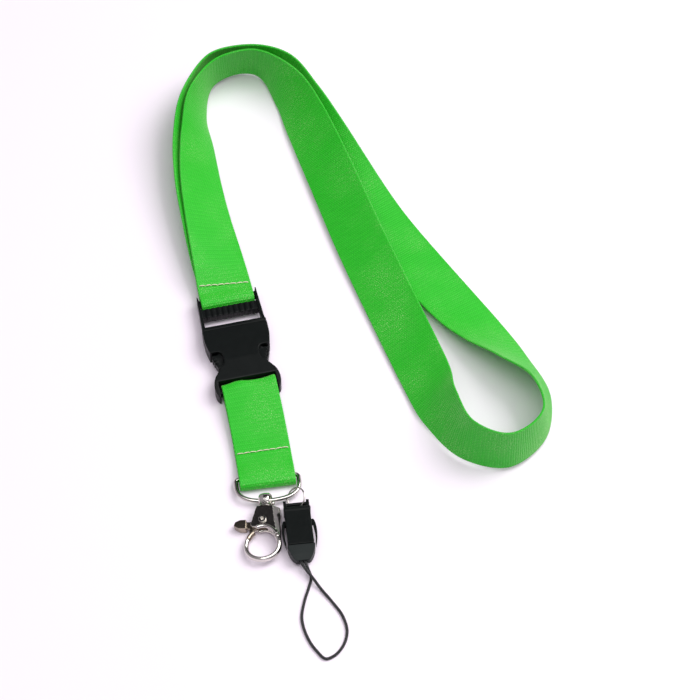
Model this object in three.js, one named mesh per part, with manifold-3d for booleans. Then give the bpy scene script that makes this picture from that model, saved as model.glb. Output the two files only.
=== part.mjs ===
// Neck lanyard: a webbing neck loop sewn to a side-release buckle, a short webbing strap with a D-ring,
// a swivel trigger hook and a small split clip with a cord loop. Millimetres, +Z up, lying on z = 0.
// The origin is on the underside of the buckle's socket half, +Y points from the hook towards the neck loop.
import * as THREE from 'three';
import { mergeVertices } from 'three/addons/utils/BufferGeometryUtils.js';
import Module from 'manifold-3d';

const wasm = await Module();
wasm.setup();

// Driving dimensions.
const WEB_WIDTH = 25;
const WEB_THICK = 1.1;
const GAP = 0.3;
const HALF_WEB = WEB_THICK / 2;
const STRAP_SLOT = WEB_WIDTH / 2 + 0.7;
const BAR_RADIUS = 1.5;
const BAR_Z = 4.2;
const WRAP_RADIUS = BAR_RADIUS + GAP + HALF_WEB;
const MALE_BAR_Y = 22.5;
const FEMALE_BAR_Y = -26.2;
const BAR_FLAT = 1;
const MOUTH_Y = 5.3;
const BODY_TOP = 8.2;
const SHELL = 1.4;

const DEGREE = Math.PI / 180;
const X_AXIS = new THREE.Vector3(1, 0, 0);
const Y_AXIS = new THREE.Vector3(0, 1, 0);
const Z_AXIS = new THREE.Vector3(0, 0, 1);

// ---------- solids ----------

function solid(geometry) {
  const bare = geometry.clone();
  for (const name of ['normal', 'uv']) {
    bare.deleteAttribute(name);
  }
  const merged = mergeVertices(bare, 1e-4);
  const vertProperties = new Float32Array(merged.attributes.position.array);
  const triVerts = new Uint32Array(merged.index.array);
  return new wasm.Manifold(new wasm.Mesh({ numProp: 3, vertProperties, triVerts }));
}

function geometryOf(manifold) {
  const mesh = manifold.getMesh();
  const geometry = new THREE.BufferGeometry();
  const position = new Float32Array(mesh.vertProperties);
  geometry.setAttribute('position', new THREE.BufferAttribute(position, 3));
  geometry.setIndex(new THREE.BufferAttribute(new Uint32Array(mesh.triVerts), 1));
  geometry.computeVertexNormals();
  return geometry;
}

function block(x, y, z) {
  const geometry = new THREE.BoxGeometry(x[1] - x[0], y[1] - y[0], z[1] - z[0]);
  return geometry.translate((x[0] + x[1]) / 2, (y[0] + y[1]) / 2, (z[0] + z[1]) / 2);
}

function extrude(shape, from, to, curveSegments = 6) {
  const options = { depth: to - from, bevelEnabled: false, curveSegments };
  const geometry = new THREE.ExtrudeGeometry(shape, options);
  return geometry.translate(0, 0, from);
}

// A section drawn in Y and Z, extruded along X.
function extrudeAlongX(shape, from, to) {
  return extrude(shape, from, to).applyMatrix4(new THREE.Matrix4().makeBasis(Y_AXIS, Z_AXIS, X_AXIS));
}

function outline(points) {
  return new THREE.Shape(points.map(([x, y]) => new THREE.Vector2(x, y)));
}

// An outline given for the right half only, mirrored to the left.
function mirrored(points) {
  const left = points.map(([x, y]) => [-x, y]).reverse();
  return outline([...points, ...left]);
}

function stadium(y, z, radius, flat) {
  const shape = new THREE.Shape();
  shape.absarc(y, z, radius, 90 * DEGREE, 270 * DEGREE, false);
  shape.absarc(y + flat, z, radius, -90 * DEGREE, 90 * DEGREE, false);
  return shape;
}

function cylinder(radius, from, to, x = 0, y = 0, sides = 20) {
  const geometry = new THREE.CylinderGeometry(radius, radius, to - from, sides);
  return geometry.rotateX(90 * DEGREE).translate(x, y, (from + to) / 2);
}

// Joins neighbouring sections, each a ring of points that runs right-handed about the path.
function loft(sections, closed) {
  const count = sections[0].length;
  const position = sections.flat().flatMap((point) => [point.x, point.y, point.z]);
  const index = [];
  const spans = closed ? sections.length : sections.length - 1;
  for (let i = 0; i < spans; i += 1) {
    const near = i * count;
    const far = ((i + 1) % sections.length) * count;
    for (let k = 0; k < count; k += 1) {
      const next = (k + 1) % count;
      index.push(near + k, near + next, far + next, near + k, far + next, far + k);
    }
  }
  if (!closed) {
    const last = (sections.length - 1) * count;
    for (let k = 1; k < count - 1; k += 1) {
      index.push(0, k + 1, k, last, last + k, last + k + 1);
    }
  }
  const geometry = new THREE.BufferGeometry();
  geometry.setAttribute('position', new THREE.Float32BufferAttribute(position, 3));
  geometry.setIndex(index);
  geometry.computeVertexNormals();
  return geometry;
}

// A bar of elliptical section swept along a curve that lies nearly flat: wide across, high upwards.
function sweptBar(curve, steps, closed, wide, high, sides = 10) {
  const sections = [];
  const rings = closed ? steps : steps + 1;
  for (let i = 0; i < rings; i += 1) {
    const t = i / steps;
    const centre = curve.getPoint(t);
    const tangent = curve.getTangent(t);
    const across = new THREE.Vector3().crossVectors(Z_AXIS, tangent).normalize();
    const up = new THREE.Vector3().crossVectors(tangent, across);
    const ring = [];
    for (let k = 0; k < sides; k += 1) {
      const angle = (k + 0.5) / sides * 360 * DEGREE;
      const point = centre.clone().addScaledVector(across, Math.cos(angle) * wide / 2);
      ring.push(point.addScaledVector(up, Math.sin(angle) * high / 2));
    }
    sections.push(ring);
  }
  return loft(sections, closed);
}

// ---------- webbing ----------

// Frames are centre points with the direction across the webbing, from its right edge to its left.
function webbing(frames) {
  const sections = frames.map(({ centre, across }, i) => {
    const before = frames[Math.max(i - 1, 0)].centre;
    const after = frames[Math.min(i + 1, frames.length - 1)].centre;
    const along = new THREE.Vector3().subVectors(after, before).normalize();
    const normal = new THREE.Vector3().crossVectors(along, across).normalize();
    return [[1, -1], [1, 1], [-1, 1], [-1, -1]].map(([side, face]) => centre.clone()
      .addScaledVector(across, side * WEB_WIDTH / 2)
      .addScaledVector(normal, face * HALF_WEB));
  });
  return loft(sections, false);
}

// Centre of the neck webbing at each station, and its bank: how far its left edge is raised, in degrees.
// It runs from the buckle up the near side, round the top, down to the right-hand loop and back,
// then under and outside its own first run to the buckle.
const NECK_ROUTE = [
  // up the near side
  [0, 28, 5.7, 0], [0, 36, 6.4, 8], [0, 46, 8, 17], [0, 70, 9, 30], [1, 92, 10, 40],
  [4, 115, 11.5, 55], [8, 135, 13, 75],
  // round the top
  [20, 151, 15, 100], [40, 153, 14.5, 100], [52, 136, 12, 65],
  // down to the right-hand loop
  [57, 115, 10.5, 45], [62, 80, 9.5, 35], [67, 40, 8.5, 30], [73, 0, 8, 30], [79, -40, 8.5, 35],
  // round the right-hand loop
  [81, -61, 12, 55], [88, -81, 14, 75], [105, -91, 14.5, 85], [123, -81, 14, 85], [127, -60, 13, 65],
  [119, -39, 9.5, 43],
  // back up, under the run that came down
  [110, -20, 5.6, 21], [101, 0, 3.2, 7], [85, 40, 1.4, 0], [77, 62, 2, -5], [70, 83, 5, -18],
  [64, 104, 8.5, -35], [59, 125, 11, -55], [53, 145, 12.5, -75],
  // round the top again, outside the first layer
  [38, 156, 15, -100], [17, 154, 15.5, -100], [4, 134, 13, -75],
  // down to the buckle, under the first layer
  [0, 112, 10.5, -50], [-2, 89, 8.5, -38], [-2, 67, 7, -30], [-1, 46, 5.8, -17], [0, 36, 4.7, -8],
  [0, 27, 4.2, 0],
];
const STEPS_PER_STATION = 5;

// The sewn end under the buckle's bar: distance along Y, height and bank.
const TAIL = [[36, 3.2, 8], [32, 2.8, 4], [28, 2.4, 0], [24.5, 1.95, 0], [23, 1.85, 0]];

function bankedAcross(along, bank) {
  const level = new THREE.Vector3(-along.y, along.x, 0).normalize();
  return level.applyAxisAngle(along.clone().normalize(), bank * DEGREE);
}

function splineThrough(points, closed = false) {
  return new THREE.CatmullRomCurve3(points, closed, 'catmullrom', 0.5);
}

function routeFrames(route) {
  const places = splineThrough(route.map(([x, y, z]) => new THREE.Vector3(x, y, z)));
  const banks = splineThrough(route.map(([, , , bank]) => new THREE.Vector3(bank, 0, 0)));
  const steps = (route.length - 1) * STEPS_PER_STATION;
  return Array.from({ length: steps + 1 }, (_, i) => {
    const t = i / steps;
    return { centre: places.getPoint(t), across: bankedAcross(places.getTangent(t), banks.getPoint(t).x) };
  });
}

// Half a turn round a bar, from under it to over it.
const TURN_POINTS = 7;
const TURN_STEP = 180 / (TURN_POINTS - 1);
function wrapPoints(y, side) {
  return Array.from({ length: TURN_POINTS }, (_, i) => {
    const angle = (-90 + i * TURN_STEP) * DEGREE;
    return [y + side * Math.cos(angle) * WRAP_RADIUS, BAR_Z + Math.sin(angle) * WRAP_RADIUS];
  });
}

function neckStrap() {
  const leftwards = new THREE.Vector3(-1, 0, 0);
  const tail = TAIL.map(([y, z, bank]) => ({
    centre: new THREE.Vector3(0, y, z),
    across: leftwards.clone().applyAxisAngle(Y_AXIS, bank * DEGREE),
  }));
  const turn = [...wrapPoints(MALE_BAR_Y, -1), [24, 6.5]];
  const wrap = turn.map(([y, z]) => ({ centre: new THREE.Vector3(0, y, z), across: leftwards }));
  return webbing([...tail, ...wrap, ...routeFrames(NECK_ROUTE)]);
}

// The short strap bends slightly to the left of straight between the buckle and the D-ring.
const SHORT_START = -26;
const SHORT_END = -78;
const SHORT_TURN = 4.5;
const SHORT_X = 0.35;

function shortPlan(y) {
  const share = THREE.MathUtils.clamp((SHORT_START - y) / (SHORT_START - SHORT_END), 0, 1);
  const heading = SHORT_TURN * share * DEGREE;
  const beyond = Math.max(SHORT_END - y, 0);
  const drift = (SHORT_START - SHORT_END) * share * heading / 2 + beyond * Math.sin(heading);
  const centre = new THREE.Vector3(SHORT_X - drift, y, 0);
  const across = new THREE.Vector3(Math.cos(heading), -Math.sin(heading), 0);
  return { centre, across };
}

// One piece of webbing: an end between the layers, round the buckle's bar, over the top,
// round the fold that holds the D-ring and back beneath. Distance along Y, then height.
const FOLD_Y = -76.4;
const FOLD_Z = 2.95;
const FOLD_RADIUS = 2.3;

function shortStrap() {
  const fold = Array.from({ length: TURN_POINTS }, (_, i) => {
    const angle = (90 + i * TURN_STEP) * DEGREE;
    return [FOLD_Y + Math.cos(angle) * FOLD_RADIUS, FOLD_Z + Math.sin(angle) * FOLD_RADIUS];
  });
  const profile = [
    [-66, 2.1], [-58, 2.1], [-48, 1.7], [-38, 1.5], [-31, 1.75],
    ...wrapPoints(FEMALE_BAR_Y, 1),
    [-31, 6.4], [-38, 5.6], [-46, 4.6], [-53, 3.8], [-60, 3.6], [-66, 3.9], [-70, 4.6], [-73.5, 5.2],
    ...fold,
    [-72, 0.65], [-66, 0.65], [-60, 0.65], [-54, 0.65],
  ];
  const frames = profile.map(([y, z]) => {
    const { centre, across } = shortPlan(y);
    return { centre: centre.setZ(z), across };
  });
  return webbing(frames);
}

// A lockstitch row across the webbing, as one thread that lies just over the surface.
const STITCH_PITCH = 2.9;
const STITCHES = 8;
const THREAD = 0.5;

function stitchRow(centre, across, height) {
  const points = [];
  for (let i = -STITCHES / 2; i < STITCHES / 2; i += 1) {
    for (const [share, lift] of [[0.08, 0], [0.25, 0.35], [0.75, 0.35], [0.92, 0]]) {
      const place = centre.clone().addScaledVector(across, (i + share) * STITCH_PITCH);
      points.push(place.setZ(place.z + height + lift));
    }
  }
  const path = new THREE.CatmullRomCurve3(points, false, 'catmullrom', 0.3);
  return sweptBar(path, STITCHES * 6, false, THREAD, THREAD, 6);
}

// ---------- side-release buckle ----------

// Plug half: a strap frame with a round end bar, a ribbed middle bar and an open slot, and a central tongue.
const FRAME_TOP = 7;
const RIB_PITCH = 2.6;
const BAR_HALF = 13.5;

function barAcross(y) {
  return solid(extrudeAlongX(stadium(y, BAR_Z, BAR_RADIUS, BAR_FLAT), -BAR_HALF, BAR_HALF));
}

function maleFrame() {
  const rails = mirrored([[14.9, 7.4], [14.6, 9], [14, 25.6], [BAR_HALF, 25.6], [STRAP_SLOT, 24]]);
  const slot = block([-STRAP_SLOT, STRAP_SLOT], [7.5, 30], [0, 9]);
  const base = mirrored([[14.6, MOUTH_Y + GAP], [15, MOUTH_Y + 0.8], [15, 6.9], [14.6, 7.6]]);
  let frame = solid(extrude(rails, 1.2, FRAME_TOP)).subtract(solid(slot));
  frame = frame.add(solid(extrude(base, 0.4, BODY_TOP - 0.3)));
  frame = frame.add(barAcross(MALE_BAR_Y));
  frame = frame.add(solid(block([-BAR_HALF, BAR_HALF], [14, 18.6], [2.3, 6.2])));
  for (let i = -4; i <= 4; i += 1) {
    const x = i * RIB_PITCH;
    frame = frame.add(solid(block([x - 0.7, x + 0.7], [13.6, 18.4], [2.9, 6.9])));
  }
  const tongue = outline([[-3.2, 6], [-3.2, -12], [-1.8, -15.5], [1.8, -15.5], [3.2, -12], [3.2, 6]]);
  return geometryOf(frame.add(solid(extrude(tongue, 2.9, 5.3))));
}

// A springy arm: a slim stem with a ribbed ear that fills the side window of the socket half.
function releaseArm(side) {
  const arm = outline([
    [6.2, 5.2], [8.6, 5.2], [9.3, -5], [10.6, -7.4], [13.1, -7.4], [13.3, -9.2],
    [12.3, -12.4], [11.4, -14.5], [9.1, -14.6], [7.2, -16.6], [6.6, -15.6], [7.4, -9],
  ]);
  const ribs = [-8.6, -10.3, -12].map((y) => block([11.4, 15], [y - 0.3, y + 0.3], [0, 9]));
  let shape = solid(extrude(arm, 2, 6.2));
  for (const [i, rib] of ribs.entries()) {
    shape = shape.subtract(solid(rib.translate(1 - i * 0.55, 0, 0)));
  }
  const geometry = geometryOf(shape);
  return side > 0 ? geometry : flipX(geometry);
}

function flipX(geometry) {
  const flipped = geometry.clone().scale(-1, 1, 1);
  const index = flipped.index.array;
  for (let i = 0; i < index.length; i += 3) {
    [index[i], index[i + 1]] = [index[i + 1], index[i]];
  }
  flipped.computeVertexNormals();
  return flipped;
}

// Socket half: a hollow body with a side window for each ear, a waist and two curved arms
// round its bar.
function femaleBody() {
  const plan = new THREE.Shape();
  plan.moveTo(15.1, MOUTH_Y);
  plan.lineTo(15, -1);
  plan.quadraticCurveTo(14.6, -4, 13.9, -6.8);
  plan.lineTo(10.9, -15.2);
  plan.quadraticCurveTo(11.2, -16.8, 12.6, -18.4);
  plan.quadraticCurveTo(15, -21, 15.2, -25);
  plan.quadraticCurveTo(15.2, -28.4, 13.9, -30.2);
  plan.lineTo(STRAP_SLOT, -30.2);
  plan.lineTo(STRAP_SLOT, -22.6);
  plan.lineTo(-STRAP_SLOT, -22.6);
  plan.lineTo(-STRAP_SLOT, -30.2);
  plan.lineTo(-13.9, -30.2);
  plan.quadraticCurveTo(-15.2, -28.4, -15.2, -25);
  plan.quadraticCurveTo(-15, -21, -12.6, -18.4);
  plan.quadraticCurveTo(-11.2, -16.8, -10.9, -15.2);
  plan.lineTo(-13.9, -6.8);
  plan.quadraticCurveTo(-14.6, -4, -15, -1);
  plan.lineTo(-15.1, MOUTH_Y);
  // Seen from the side, the body thins towards the strap bar.
  const side = outline([
    [MOUTH_Y + 1, 0], [MOUTH_Y + 1, BODY_TOP], [-12, BODY_TOP], [-22, 7.6], [-31, 6.4], [-31, 1], [-28, 0],
  ]);
  let body = solid(extrude(plan, -1, 10)).intersect(solid(extrudeAlongX(side, -20, 20)));
  const hollow = mirrored([[13.4, MOUTH_Y + 1], [13, -6.4], [11, -10], [9.8, -16], [8, -18.4]]);
  body = body.subtract(solid(extrude(hollow, SHELL, BODY_TOP - SHELL)));
  for (const edge of [1, -1]) {
    const window = new THREE.Shape();
    window.moveTo(edge * 20, -6.9);
    window.lineTo(edge * 20, -15.1);
    window.lineTo(edge * 10.4, -15.1);
    window.quadraticCurveTo(edge * 8.1, -14.6, edge * 8.1, -11);
    window.quadraticCurveTo(edge * 8.1, -7.4, edge * 10.4, -6.9);
    body = body.subtract(solid(extrude(window, -2, 12)));
  }
  return geometryOf(body.add(barAcross(FEMALE_BAR_Y - BAR_FLAT)));
}

// ---------- D-ring ----------

const RING_WIRE = 2;
const RING_HALF = 14;
const RING_DEPTH = 12.5;
const RING_CORNER = 1.6;
const RING_STEPS = 64;

function dRing() {
  const inset = RING_HALF - RING_CORNER;
  const shape = new THREE.Shape();
  shape.moveTo(-inset, 0);
  shape.lineTo(inset, 0);
  shape.absarc(inset, -RING_CORNER, RING_CORNER, 90 * DEGREE, 0, true);
  shape.lineTo(RING_HALF, -4);
  shape.bezierCurveTo(RING_HALF, -9.8, 9.2, -RING_DEPTH, 0, -RING_DEPTH);
  shape.bezierCurveTo(-9.2, -RING_DEPTH, -RING_HALF, -9.8, -RING_HALF, -4);
  shape.lineTo(-RING_HALF, -RING_CORNER);
  shape.absarc(-inset, -RING_CORNER, RING_CORNER, 180 * DEGREE, 90 * DEGREE, true);
  const corners = shape.getSpacedPoints(RING_STEPS).slice(0, -1);
  const path = splineThrough(corners.map((p) => new THREE.Vector3(p.x, p.y, 0)), true);
  return sweptBar(path, RING_STEPS, true, RING_WIRE, RING_WIRE);
}

// ---------- trigger hook ----------
// Built flat in its own frame: the origin is the centre of the swivel eye, -Y points to the hook's tip.

// The eye is bent from a broad strip, so it is this many times broader than it is thick.
const EYE_BREADTH = 3.8;

function hookEye() {
  const ring = new THREE.TorusGeometry(2.7, 0.65, 8, 24).scale(1, 1, EYE_BREADTH);
  const eye = solid(ring.rotateY(82 * DEGREE));
  const stem = solid(new THREE.CylinderGeometry(0.95, 0.95, 4.6, 14).translate(0, -5, 0));
  const head = solid(new THREE.CylinderGeometry(1.6, 1.6, 0.9, 14).translate(0, -7, 0));
  const collar = solid(new THREE.CylinderGeometry(2.9, 3.1, 0.7, 24).translate(0, -3.45, 0));
  const shoulder = solid(new THREE.CylinderGeometry(2.8, 3.1, 0.9, 24).translate(0, -2.4, 0));
  const knob = solid(new THREE.SphereGeometry(0.95, 14, 10).translate(3.7, -2.4, 1.2));
  return geometryOf(eye.add(stem).add(head).add(collar).add(shoulder).add(knob));
}

// The hook's loop is an oval, slightly broader towards its tip. Angles run from +X towards +Y.
const LOOP = { y: -22.2, wide: 7.3, tall: 7.5 };
const LOOP_SWELL = 0.1;
const LOOP_STEP = 15;

function loopArc(from, to) {
  const steps = Math.round(Math.abs(to - from) / LOOP_STEP);
  return splineThrough(Array.from({ length: steps + 1 }, (_, i) => {
    const angle = (from + (to - from) * i / steps) * DEGREE;
    const wide = LOOP.wide * (1 - LOOP_SWELL * Math.sin(angle));
    return new THREE.Vector3(Math.cos(angle) * wide, LOOP.y + Math.sin(angle) * LOOP.tall, 0);
  }));
}

const PIVOT = { x: -0.3, y: -11 };
const SLOT_HALF = 1.25;
const HOOK_WIRE = 2.3;
const HOOK_DEPTH = 3.2;
const RIVET_HOLE = 1.2;
const PLATE_TOP = 2.6;
const RIM_WIDE = 1.8;
const RIM_Z = 2.1;
const RIM_LIFT = 0.6;

// The body's front right edge is cut back to a broad sloping facet, from this point downwards.
const FACET = { x: 3.6, y: -3.6, lean: 10, slope: 45 };

function rivetHole() {
  return solid(cylinder(RIVET_HOLE, -4, 4, PIVOT.x, PIVOT.y, 16));
}

function hookBody() {
  const plan = outline([
    [-3.2, -4.1], [6.5, -4.1], [6.9, -5.4], [7.3, -14], [7.6, -18.7], [5, -18.7],
    [4.4, -16], [2.2, -14.8], [-2, -14.5], [-4.6, -14.7], [-5.6, -13.6], [-3.7, -5.4],
  ]);
  const facet = block([-14, 14], [-20, 4], [0, 12]).rotateY(FACET.slope * DEGREE);
  facet.rotateZ(FACET.lean * DEGREE).translate(FACET.x, FACET.y, PLATE_TOP);
  let body = solid(extrude(plan, -PLATE_TOP, PLATE_TOP)).subtract(solid(facet));
  body = body.add(solid(sweptBar(loopArc(28, -196), 30, false, HOOK_WIRE, HOOK_DEPTH)));
  // A raised rim follows the top of the loop across each face of the body.
  for (const z of [RIM_Z, -RIM_Z]) {
    const rim = sweptBar(loopArc(24, 114), 16, false, RIM_WIDE, RIM_WIDE);
    body = body.add(solid(rim.translate(0, RIM_LIFT, z)));
  }
  const slot = outline([[-12, -8.7], [1.2, -8.7], [2.4, -10], [2.4, -13], [1.2, -16], [-12, -16]]);
  body = body.subtract(solid(extrude(slot, -SLOT_HALF, SLOT_HALF)));
  const socket = solid(new THREE.CylinderGeometry(1.9, 1.9, 1.5, 14).translate(0, -7, 0));
  const bore = solid(new THREE.CylinderGeometry(1.25, 1.25, 4, 14).translate(0, -4.8, 0));
  body = body.subtract(socket).subtract(bore);
  return geometryOf(body.subtract(rivetHole()));
}

// The gate pivots on the rivet: a hub, an arm that closes the loop's upper left, and a thumb lever.
function hookGate() {
  const low = -SLOT_HALF + 0.2;
  const high = 0.35;
  let gate = solid(cylinder(2, low, high, PIVOT.x, PIVOT.y, 18));
  const web = outline([
    [-1, -9.2], [0.8, -12.7], [-2.6, -13.6], [-4.2, -15], [-4.6, -17.4], [-6.2, -17.2], [-6.2, -14],
    [-4.4, -11.6],
  ]);
  gate = gate.add(solid(extrude(web, low, high)));
  gate = gate.add(solid(sweptBar(loopArc(129, 160), 8, false, HOOK_WIRE, HOOK_DEPTH)));
  const lever = outline([[-3, -11], [-6.4, -14.4], [-12, -13.2], [-13, -12.4], [-12.4, -11], [-7.8, -10.8]]);
  gate = gate.add(solid(extrude(lever, low, high)));
  const pad = outline([
    [-7.8, -15], [-10.8, -14.8], [-13.2, -13.3], [-12.6, -11.5], [-10.4, -10.5], [-7.8, -10.5],
  ]);
  gate = gate.add(solid(extrude(pad, -1.9, 1.9)));
  return geometryOf(gate.subtract(rivetHole()));
}

function hookRivet() {
  const shaft = solid(cylinder(1.02, -2.9, 2.9, PIVOT.x, PIVOT.y, 20));
  const front = solid(cylinder(1.7, 2.8, 3.3, PIVOT.x, PIVOT.y, 20));
  const back = solid(cylinder(1.7, -3.3, -2.8, PIVOT.x, PIVOT.y, 20));
  const dimple = solid(cylinder(0.75, 2, 4, PIVOT.x, PIVOT.y, 16));
  return geometryOf(shaft.add(front).add(back).subtract(dimple));
}

// A torsion spring beside the gate's hub, drawn as its outer shape: a ring with two legs.
function hookSpring() {
  const low = 0.5;
  const high = SLOT_HALF - 0.15;
  const ring = solid(cylinder(1.75, low, high, PIVOT.x, PIVOT.y, 18));
  const upper = solid(block([PIVOT.x - 1.6, PIVOT.x - 1.2], [PIVOT.y, PIVOT.y + 2], [low, high]));
  const lower = solid(block([PIVOT.x - 4, PIVOT.x], [PIVOT.y - 1.8, PIVOT.y - 1.4], [low, high]));
  return geometryOf(ring.add(upper).add(lower).subtract(rivetHole()));
}

// ---------- phone loop clip ----------
// Built flat in its own frame: the origin is the middle of its top bar, -Y points to the cord.

const CLIP_HALF = 5.7;
const CLIP_SEAM = -21.4;
const CLIP_DEEP = 3.1;
const CLIP_RIM = 0.25;

// A hollow block with two cheeks and a round bar at its top, a rim below them,
// and a side window for each catch.
function clipSocket() {
  let body = solid(block([-CLIP_HALF, CLIP_HALF], [CLIP_SEAM, -2.6], [-CLIP_DEEP, CLIP_DEEP]));
  for (const x of [[-CLIP_HALF, -4.4], [4.4, CLIP_HALF]]) {
    body = body.add(solid(block(x, [-2.7, 1.3], [-1.6, 1.6])));
  }
  body = body.add(solid(new THREE.CylinderGeometry(0.8, 0.8, 9.4, 12).rotateZ(90 * DEGREE)));
  const rimHalf = CLIP_HALF + CLIP_RIM;
  const rimDeep = CLIP_DEEP + CLIP_RIM;
  body = body.add(solid(block([-rimHalf, rimHalf], [-4.4, -3.2], [-rimDeep, rimDeep])));
  body = body.subtract(solid(block([-4.6, 4.6], [-23, -6.4], [-2, 2])));
  for (const x of [[-9, -4], [4, 9]]) {
    body = body.subtract(solid(block(x, [-11.2, -8.2], [-1.4, 1.4])));
  }
  return geometryOf(body);
}

// A blunt nose with a flat stem that enters the socket, a chamber for the cord's knot
// and a slot at its tip for the two runs of cord.
const NOSE_END = -29;

function clipPlug() {
  const nose = new THREE.Shape();
  const top = CLIP_SEAM - GAP;
  nose.moveTo(-6.1, top);
  nose.lineTo(6.1, top);
  nose.lineTo(5.8, -23.6);
  nose.quadraticCurveTo(4.7, -27.4, 2.9, NOSE_END);
  nose.lineTo(-2.9, NOSE_END);
  nose.quadraticCurveTo(-4.7, -27.4, -5.8, -23.6);
  const side = outline([
    [top, -CLIP_DEEP], [top, CLIP_DEEP], [-26.2, 2.5], [NOSE_END, 1.6], [NOSE_END, -1.6], [-26.2, -2.5],
  ]);
  let plug = solid(extrude(nose, -4, 4)).intersect(solid(extrudeAlongX(side, -7, 7)));
  plug = plug.add(solid(block([-2.4, 2.4], [top - 0.2, -7.4], [-1.6, 1.6])));
  plug = plug.subtract(solid(block([-1.9, 1.9], [-26.4, -22.6], [-1.65, 1.65])));
  const towardsTip = new THREE.Matrix4().makeBasis(X_AXIS, Z_AXIS, Y_AXIS.clone().negate());
  const throat = extrude(stadium(-0.9, 0, 0.95, 1.8), 0, 4).applyMatrix4(towardsTip);
  return geometryOf(plug.subtract(solid(throat.translate(0, -26, 0))));
}

// A bowed side arm with a catch that reaches into the socket's side window.
function clipArm(side) {
  const arm = new THREE.Shape();
  arm.moveTo(6.4, -22.4);
  arm.quadraticCurveTo(8.3, -16.5, 7.4, -10.8);
  arm.quadraticCurveTo(7.1, -8.9, 6.4, -8.5);
  arm.lineTo(4.9, -8.9);
  arm.lineTo(4.9, -10.4);
  arm.lineTo(6.2, -10.9);
  arm.quadraticCurveTo(7.1, -16.5, 6.4, -20);
  const geometry = geometryOf(solid(extrude(arm, -1.1, 1.1, 5)));
  return side > 0 ? geometry : flipX(geometry);
}

// ---------- cord loop ----------

const CORD = 1.3;
// Centre line of the cord, from the clip's nose round the loop and back to the nose.
const CORD_ROUTE = [
  [6.2, -118, 3.6], [6.1, -119.9, 3.55], [6.6, -122.8, 2.4], [7.1, -126.8, 1], [5.2, -131, 0.72],
  [1.8, -137.5, 0.7], [-0.9, -145, 0.7], [-0.7, -153.5, 0.7], [1.6, -161, 0.7], [5.4, -166.3, 0.7],
  [8.6, -165.6, 0.7], [13.6, -161.6, 0.7], [16.6, -155.5, 0.7], [16.4, -148, 0.7], [13.4, -140, 0.7],
  [10, -133, 1.2], [7.4, -127.4, 2.65], [5.4, -123.3, 3.4], [4.4, -119.9, 3.6], [4.55, -117.9, 3.6],
];
const CORD_STEPS = 64;

function cordLoop() {
  const points = CORD_ROUTE.map((point) => new THREE.Vector3(...point));
  const path = new THREE.CatmullRomCurve3(points, false, 'centripetal');
  return sweptBar(path, CORD_STEPS, false, CORD, CORD, 8);
}

// ---------- assembly ----------

function material(color, roughness, metalness) {
  return new THREE.MeshStandardMaterial({ color, roughness, metalness });
}

const GREEN = material(0x22b422, 0.85, 0);
const THREAD_CREAM = material(0xe6e4c4, 0.9, 0);
const BLACK = material(0x16181a, 0.45, 0);
const NICKEL = material(0xb9b6b0, 0.22, 1);
const CORD_BLACK = material(0x121212, 0.8, 0);

const lanyard = new THREE.Group();
function add(parent, name, geometry, look) {
  const mesh = new THREE.Mesh(geometry, look);
  mesh.name = name;
  parent.add(mesh);
  return mesh;
}

add(lanyard, 'neck_strap', neckStrap(), GREEN);
// Each stitch row rides just above the face of its webbing.
const THREAD_LIFT = HALF_WEB + GAP + THREAD / 2;
const NECK_SEAM = new THREE.Vector3(0, 30.6, 6.05);
const neckAcross = X_AXIS.clone().applyAxisAngle(Y_AXIS, 3.5 * DEGREE);
add(lanyard, 'neck_strap_stitching', stitchRow(NECK_SEAM, neckAcross, THREAD_LIFT), THREAD_CREAM);

add(lanyard, 'short_strap', shortStrap(), GREEN);
const seam = shortPlan(-60.8);
seam.centre.setZ(3.6);
const shortRow = stitchRow(seam.centre, seam.across, THREAD_LIFT);
add(lanyard, 'short_strap_stitching', shortRow, THREAD_CREAM);

add(lanyard, 'buckle_male_frame', maleFrame(), BLACK);
add(lanyard, 'buckle_release_arm_right', releaseArm(1), BLACK);
add(lanyard, 'buckle_release_arm_left', releaseArm(-1), BLACK);
add(lanyard, 'buckle_female', femaleBody(), BLACK);

// The D-ring's straight bar sits in the strap's fold and the hook's eye holds its bow up.
const ring = add(lanyard, 'd_ring', dRing(), NICKEL);
ring.position.set(-1.35, -73.8, 2.6);
ring.rotation.set(-3.2 * DEGREE, 0, -6.5 * DEGREE, 'ZYX');

const hook = new THREE.Group();
hook.position.set(-4.5, -86.05, 3.8);
hook.rotation.set(0, -9 * DEGREE, -14.7 * DEGREE, 'ZYX');
lanyard.add(hook);
add(hook, 'hook_swivel_eye', hookEye(), NICKEL);
add(hook, 'hook_body', hookBody(), NICKEL);
add(hook, 'hook_gate', hookGate(), NICKEL);
add(hook, 'hook_gate_rivet', hookRivet(), NICKEL);
add(hook, 'hook_gate_spring', hookSpring(), NICKEL);

const clip = new THREE.Group();
clip.position.set(8.2, -91, 3.6);
clip.rotation.set(0, 0, -6 * DEGREE, 'ZYX');
lanyard.add(clip);
add(clip, 'phone_clip_socket', clipSocket(), BLACK);
add(clip, 'phone_clip_plug', clipPlug(), BLACK);
add(clip, 'phone_clip_arm_right', clipArm(1), BLACK);
add(clip, 'phone_clip_arm_left', clipArm(-1), BLACK);
add(clip, 'phone_cord_knot', new THREE.SphereGeometry(1.35, 12, 8).translate(0, -24.4, 0), CORD_BLACK);

const jumpRing = add(lanyard, 'jump_ring', new THREE.TorusGeometry(4.8, 0.35, 8, 30), NICKEL);
jumpRing.position.set(8.8, -88.1, 3.9);
jumpRing.rotation.set(0, -43 * DEGREE, 9.3 * DEGREE, 'ZYX');

add(lanyard, 'phone_loop_cord', cordLoop(), CORD_BLACK);

export default lanyard;
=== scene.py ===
"""Looks of a green neck lanyard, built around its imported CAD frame. Metres, +Z up, lying on z = 0."""

import math

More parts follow.
